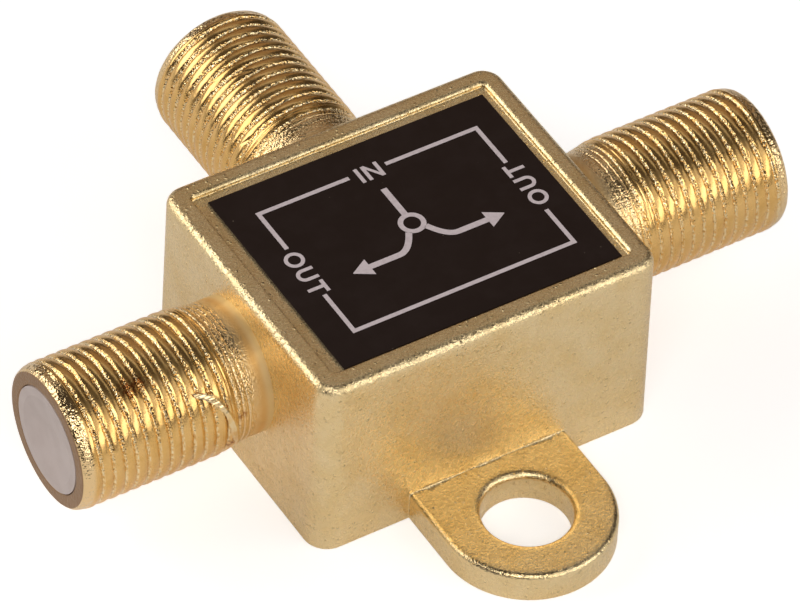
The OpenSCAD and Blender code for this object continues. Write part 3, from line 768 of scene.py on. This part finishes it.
def gold_satin():
    """The casting: gold plate over a fine grain with a few specks, coarser on the box's
    upper edge and smoother on the ear's."""
    material = plain_material("gold_satin", GOLD, 0.28, 1.0)
    n = Nodes(material)
    n.bump(n.noise(0.5, 2), SATIN_WAVE)
    n.bump(n.noise(0.15, 2, 0.7), SATIN_GRAIN)
    specks = n.math("MULTIPLY", n.dots(0.42, 0.04, 0.06), n.span(n.noise(1.2, 2), 0.45, 0.58))
    n.bump(specks, SATIN_SPECKS)
    x, y, z = (n.math("ABSOLUTE", n.axis(i)) for i in range(3))

    def below(top, fade):
        return n.span(z, (top - fade[0]) * MM, (top - fade[1]) * MM)

    edge = n.math("MULTIPLY", below(BOX_H, BOX_EDGE_FOOT), below(BOX_H, EDGE_TOP))
    inner = DRAFT + TOP_ROUND + 0.15
    outside = n.math("MAXIMUM", n.span(x, (BOX_W / 2 - inner) * MM, (BOX_W / 2 - inner + 0.1) * MM),
                     n.span(y, (BOX_D / 2 - inner) * MM, (BOX_D / 2 - inner + 0.1) * MM))
    edge = n.math("MULTIPLY", edge, outside)
    n.bump(n.math("MULTIPLY", n.math("SUBTRACT", n.noise(0.25, 2, 0.6), 0.5), edge), EDGE_GRAIN)
    tone = n.span(n.noise(2.4, 4, 0.6), 0.3, 0.75)
    rough = n.span(n.noise(0.3, 2), 0.3, 0.7, 0.20, 0.33)
    foot = below(EAR_T, (EAR_HOLE_ROUND, EAR_ROUND))
    polished = n.math("MULTIPLY", foot, below(EAR_T, EDGE_TOP))
    rough = n.math("SUBTRACT", rough, n.math("MULTIPLY", polished, EAR_POLISH))
    n.finish(n.blend(tone, GOLD, GOLD_DEEP), rough)
    return material


def gold_port(name, turn_about_z, wall_at, stains):
    """A port: brighter plate, beaded along the grooves, with painted highlight lines along them,
    grainy at the neck and the tip, brown on the end face, with tarnish in the stains."""
    material = plain_material(name, GOLD_PORT, 0.17, 1.0)
    n = Nodes(material)
    x, y, z = (n.axis(i) for i in range(3))
    ca, sa = math.cos(turn_about_z), math.sin(turn_about_z)
    out = n.math("ADD", n.math("MULTIPLY", x, ca), n.math("MULTIPLY", y, sa))
    beside = n.math("SUBTRACT", n.math("MULTIPLY", y, ca), n.math("MULTIPLY", x, sa))
    along = n.math("SUBTRACT", out, wall_at * MM)
    above = n.math("SUBTRACT", z, PORT_Z * MM)
    turn = n.math("DIVIDE", n.math("ARCTAN2", above, beside), 2 * math.pi)
    place = n.math("SUBTRACT", n.math("DIVIDE", along, PITCH * MM), turn)
    off = n.math("ABSOLUTE", n.math("SUBTRACT", n.math("FRACT", n.math("ADD", place, 0.5)), 0.5))

    def zone(fade):
        return n.span(along, fade[0] * MM, fade[1] * MM)

    threaded = n.math("MULTIPLY", zone(GROOVES_START), zone(GROOVES_END))
    groove = n.math("MULTIPLY", n.span(off, 0.26, 0.12), threaded)
    neck = n.math("MULTIPLY", zone(NECK_START), zone(NECK_END))
    tip = zone(TIP_START)
    rough_zone = n.math("MAXIMUM", neck, tip)
    grit = n.math("SUBTRACT", n.noise(0.15, 1, 0.7), 0.5)
    n.bump(n.noise(0.6, 2), PORT_WAVE)
    n.bump(n.math("MULTIPLY", grit, groove), GROOVE_GRIT)
    n.bump(n.math("MULTIPLY", grit, neck), NECK_GRIT)
    flakes = n.math("SUBTRACT", n.noise(0.2, 1, 0.6), 0.5)
    n.bump(n.math("MULTIPLY", flakes, tip), TIP_FLAKES)
    n.bump(n.noise(0.12, 2), PORT_GRAIN)
    tone = n.span(n.noise(1.6, 4, 0.6), 0.35, 0.75)
    colour = n.blend(zone(WALL_SKIN_END), n.blend(tone, GOLD_PORT, GOLD_PORT_DEEP), GOLD)
    # Painted highlight: pale lines along the middle of the grooves, broken by noise, stand in for
    # their glints
    line = n.math("MULTIPLY", n.span(off, 0.20, 0.06), threaded)
    line = n.math("MULTIPLY", line, n.span(n.noise(0.18, 2), 0.38, 0.58))
    colour = n.blend(rough_zone, n.blend(line, colour, GROOVE_GLINT_PAINT), GOLD_GRAIN)
    face = zone((PORT_REACH - 0.06, PORT_REACH - 0.03))
    colour = n.blend(face, colour, GOLD_FACE)
    for point, radius in stains:
        ragged = n.span(n.noise(0.2, 3, 0.7), 0.44, 0.54)
        patch = n.math("MULTIPLY", n.near(point, radius * 0.4, radius), ragged)
        colour = n.blend(patch, colour, STAIN)
    rough = n.span(n.noise(0.9, 3), 0.3, 0.75, 0.23, 0.31)
    grainy = n.math("MAXIMUM", groove, rough_zone)
    rough = n.math("SUBTRACT", rough, n.math("MULTIPLY", grainy, GRAIN_POLISH))
    rough = n.math("ADD", rough, n.math("MULTIPLY", zone(ROOT_END), ROOT_MATT))
    rough = n.math("ADD", rough, n.math("MULTIPLY", face, FACE_MATT))
    n.finish(colour, rough)
    return material


def label_material():
    """Near-black plate with a slight gloss and a few specks of dust."""
    material = plain_material("label_black", LABEL_BLACK, 0.34, Specular_IOR_Level=0.24)
    n = Nodes(material)
    n.bump(n.noise(0.3, 2), 0.002)
    dust = n.math("MULTIPLY", n.dots(0.9, 0.012, 0.03), n.span(n.noise(2.5, 2), 0.5, 0.62))
    haze = n.span(n.noise(1.8, 5, 0.65), 0.35, 0.8)
    colour = n.blend(haze, LABEL_BLACK, LABEL_HAZE)
    n.finish(n.blend(dust, colour, DUST), n.span(haze, 0, 1, 0.30, 0.42))
    return material


def ink_material():
    """Pale grey ink, thinner in places."""
    material = plain_material("label_ink", INK, 0.5)
    n = Nodes(material)
    tone = n.span(n.noise(0.25, 3), 0.35, 0.75)
    n.finish(n.blend(tone, INK, INK_WORN))
    return material


def insulator_material():
    """Milky matt plastic."""
    material = plain_material("white_plastic", PLASTIC, 0.42)
    n = Nodes(material)
    n.bump(n.noise(0.5, 2), 0.006)
    n.finish(n.blend(n.span(n.noise(1.5, 3), 0.3, 0.75), PLASTIC, PLASTIC_DEEP))
    return material


def metal(name, colour, deep, roughness, grain):
    """A worked or soldered metal with a mottled tone and fine relief."""
    material = plain_material(name, colour, roughness, 1.0)
    n = Nodes(material)
    n.bump(n.noise(grain, 3), 0.02 * grain)
    tone = n.span(n.noise(grain * 3, 3), 0.3, 0.75)
    n.finish(n.blend(tone, colour, deep), n.span(tone, 0, 1, roughness * 0.85, roughness * 1.25))
    return material


def matt(name, colour, deep, roughness, grain):
    """A matt solid such as ferrite, laminate or ceramic."""
    material = plain_material(name, colour, roughness)
    n = Nodes(material)
    n.bump(n.noise(grain, 3), 0.03 * grain)
    n.finish(n.blend(n.span(n.noise(grain * 2, 4), 0.3, 0.75), colour, deep))
    return material


def set_material(piece, material):
    """Makes a material the piece's only one."""
    piece.data.materials.clear()
    piece.data.materials.append(material)


def dress_nodes(nodes, plastic):
    """Procedural materials for the CAD nodes that stay in view or inside the box."""
    solder = metal("solder_tin", (0.62, 0.62, 0.61), (0.48, 0.48, 0.48), 0.32, 0.5)
    tinned = metal("tinned_wire", (0.70, 0.70, 0.69), (0.58, 0.58, 0.57), 0.28, 0.3)
    plate = metal("tinned_plate", (0.68, 0.67, 0.64), (0.56, 0.55, 0.52), 0.36, 1.1)
    contact = metal("contact_gold", (0.88, 0.64, 0.30), (0.76, 0.52, 0.22), 0.22, 0.3)
    board = matt("board_laminate", (0.50, 0.36, 0.17), (0.40, 0.28, 0.12), 0.6, 0.4)
    ferrite = matt("ferrite", (0.05, 0.045, 0.042), (0.03, 0.028, 0.027), 0.6, 0.2)
    copper = metal("copper_wire", (0.75, 0.30, 0.12), (0.60, 0.22, 0.08), 0.25, 0.2)
    body = matt("resistor_body", (0.62, 0.50, 0.33), (0.54, 0.42, 0.26), 0.4, 0.5)
    ceramic = matt("ceramic", (0.55, 0.28, 0.09), (0.45, 0.22, 0.07), 0.55, 0.4)
    looks = {
        "housing": gold_satin(), "back_plate": plate, "seam_solder": solder,
        "label": label_material(), "circuit_board": board, "ground_solder": solder,
        "tail_solder": solder, "lead_solder": solder, "matching_core": ferrite,
        "hybrid_core": ferrite, "matching_winding": copper, "hybrid_winding": copper,
        "isolation_resistor": body, "resistor_leads": tinned,
    }
    for port in ("in", "out_left", "out_right"):
        looks[port + "_insulator"] = plastic
        looks[port + "_contact"] = contact
    for disc in ("input", "matching", "output_left", "output_right"):
        looks[disc + "_capacitor"] = ceramic
        looks[disc + "_capacitor_leads"] = tinned
    for name, node in nodes.items():
        set_material(node, looks[name])


def make_camera():
    """The camera at the photograph's viewing angle."""
    data = bpy.data.cameras.new("camera")
    data.lens = CAMERA_LENS
    data.sensor_width = CAMERA_SENSOR
    data.clip_start, data.clip_end = 0.01, 10
    camera = bpy.data.objects.new("camera", data)
    bpy.context.scene.collection.objects.link(camera)
    az, el = math.radians(CAMERA_AZIMUTH), math.radians(CAMERA_ELEVATION)
    roll = math.radians(CAMERA_ROLL)
    ahead = Vector((math.sin(az) * math.cos(el), math.cos(az) * math.cos(el), -math.sin(el)))
    level = Vector((math.cos(az), -math.sin(az), 0))
    above = level.cross(ahead)
    right = math.cos(roll) * level + math.sin(roll) * above
    up = math.cos(roll) * above - math.sin(roll) * level
    camera.location = Vector(CAMERA_AT) * MM
    camera.rotation_euler = Matrix((right, up, -ahead)).transposed().to_euler()
    bpy.context.scene.camera = camera


def soft_light(name, direction, size, level, tint):
    """A rectangular lamp of a radiance that faces the object from a direction."""
    data = bpy.data.lights.new(name, "AREA")
    data.shape = "RECTANGLE"
    data.size, data.size_y = size
    data.energy = level * math.pi * size[0] * size[1]
    data.color = tint
    lamp = bpy.data.objects.new(name, data)
    bpy.context.scene.collection.objects.link(lamp)
    away = Vector(direction).normalized()
    lamp.location = away * LAMP_FAR + Vector((0, 0, AIM_HEIGHT))
    lamp.rotation_mode = "QUATERNION"
    lamp.rotation_quaternion = away.to_track_quat("Z", "Y")


def make_light():
    """A dim warm room, a wide softbox and a weaker panel at the front right, a softbox at the
    back left, a strip overhead, a dim warm panel at the back right, and a fill beside the
    camera. The camera sees a white background."""
    scene = bpy.context.scene
    scene.view_settings.view_transform = "Standard"
    world = bpy.data.worlds.new("studio")
    scene.world = world
    world.use_nodes = True
    n = Nodes(world)
    seen = n.make("ShaderNodeLightPath").outputs["Is Camera Ray"]
    background = world.node_tree.nodes["Background"]
    n.tree.links.new(n.blend(seen, ROOM, WHITE), background.inputs["Color"])
    background.inputs["Strength"].default_value = 1.0
    for lamp in LAMPS:
        soft_light(*lamp)


def make_floor():
    """A pale floor just below the object, with a glow that lifts it to white for the camera
    and a little for reflections."""
    far = FLOOR_REACH
    corners = [(-far, -far, 0), (far, -far, 0), (far, far, 0), (-far, far, 0)]
    floor = mesh_piece("floor", corners, [(0, 1, 2, 3)])
    floor.location.z = -FLOOR_GAP * MM
    material = plain_material("floor_white", FLOOR, 0.8)
    n = Nodes(material)
    ray = n.make("ShaderNodeLightPath").outputs
    level = n.math("ADD", n.math("MULTIPLY", ray["Is Camera Ray"], FLOOR_GLOW),
                   n.math("MULTIPLY", ray["Is Glossy Ray"], FLOOR_GLOSSY_GLOW))
    glow = n.make("ShaderNodeEmission", {"Color": (1, 1, 1, 1), "Strength": level})
    both = n.make("ShaderNodeAddShader", {0: n.shader.outputs[0], 1: glow.outputs[0]})
    n.tree.links.new(both.outputs[0], n.tree.nodes["Material Output"].inputs["Surface"])
    set_material(floor, material)


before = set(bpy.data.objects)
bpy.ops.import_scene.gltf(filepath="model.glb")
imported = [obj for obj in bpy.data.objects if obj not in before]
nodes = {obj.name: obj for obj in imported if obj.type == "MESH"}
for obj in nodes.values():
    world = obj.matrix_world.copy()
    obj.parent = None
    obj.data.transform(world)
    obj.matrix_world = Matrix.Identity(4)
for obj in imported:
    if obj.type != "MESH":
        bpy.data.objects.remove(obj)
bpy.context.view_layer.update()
make_camera()
plastic = insulator_material()
dress_nodes(nodes, plastic)

pieces = [casting_piece()]
set_material(pieces[0], gold_satin())
for name, turn_about_z, wall_at, seed, stains in PORTS:
    skin = plug_skin(name + "_skin", turn_about_z, wall_at)
    set_material(skin, plastic)
    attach(skin, "root")
    port = port_piece(name, turn_about_z, wall_at, seed)
    set_material(port, gold_port("gold_" + name, turn_about_z, wall_at, stains))
    pieces.append(port)
for piece in pieces:
    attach(piece, "root")
    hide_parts("housing")
sliver = sliver_piece()
set_material(sliver, metal("gold_flash", GOLD, GOLD_PORT, 0.22, 0.3))
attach(sliver, "root")
ink = print_piece()
set_material(ink, ink_material())
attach(ink, "root")

make_light()
make_floor()
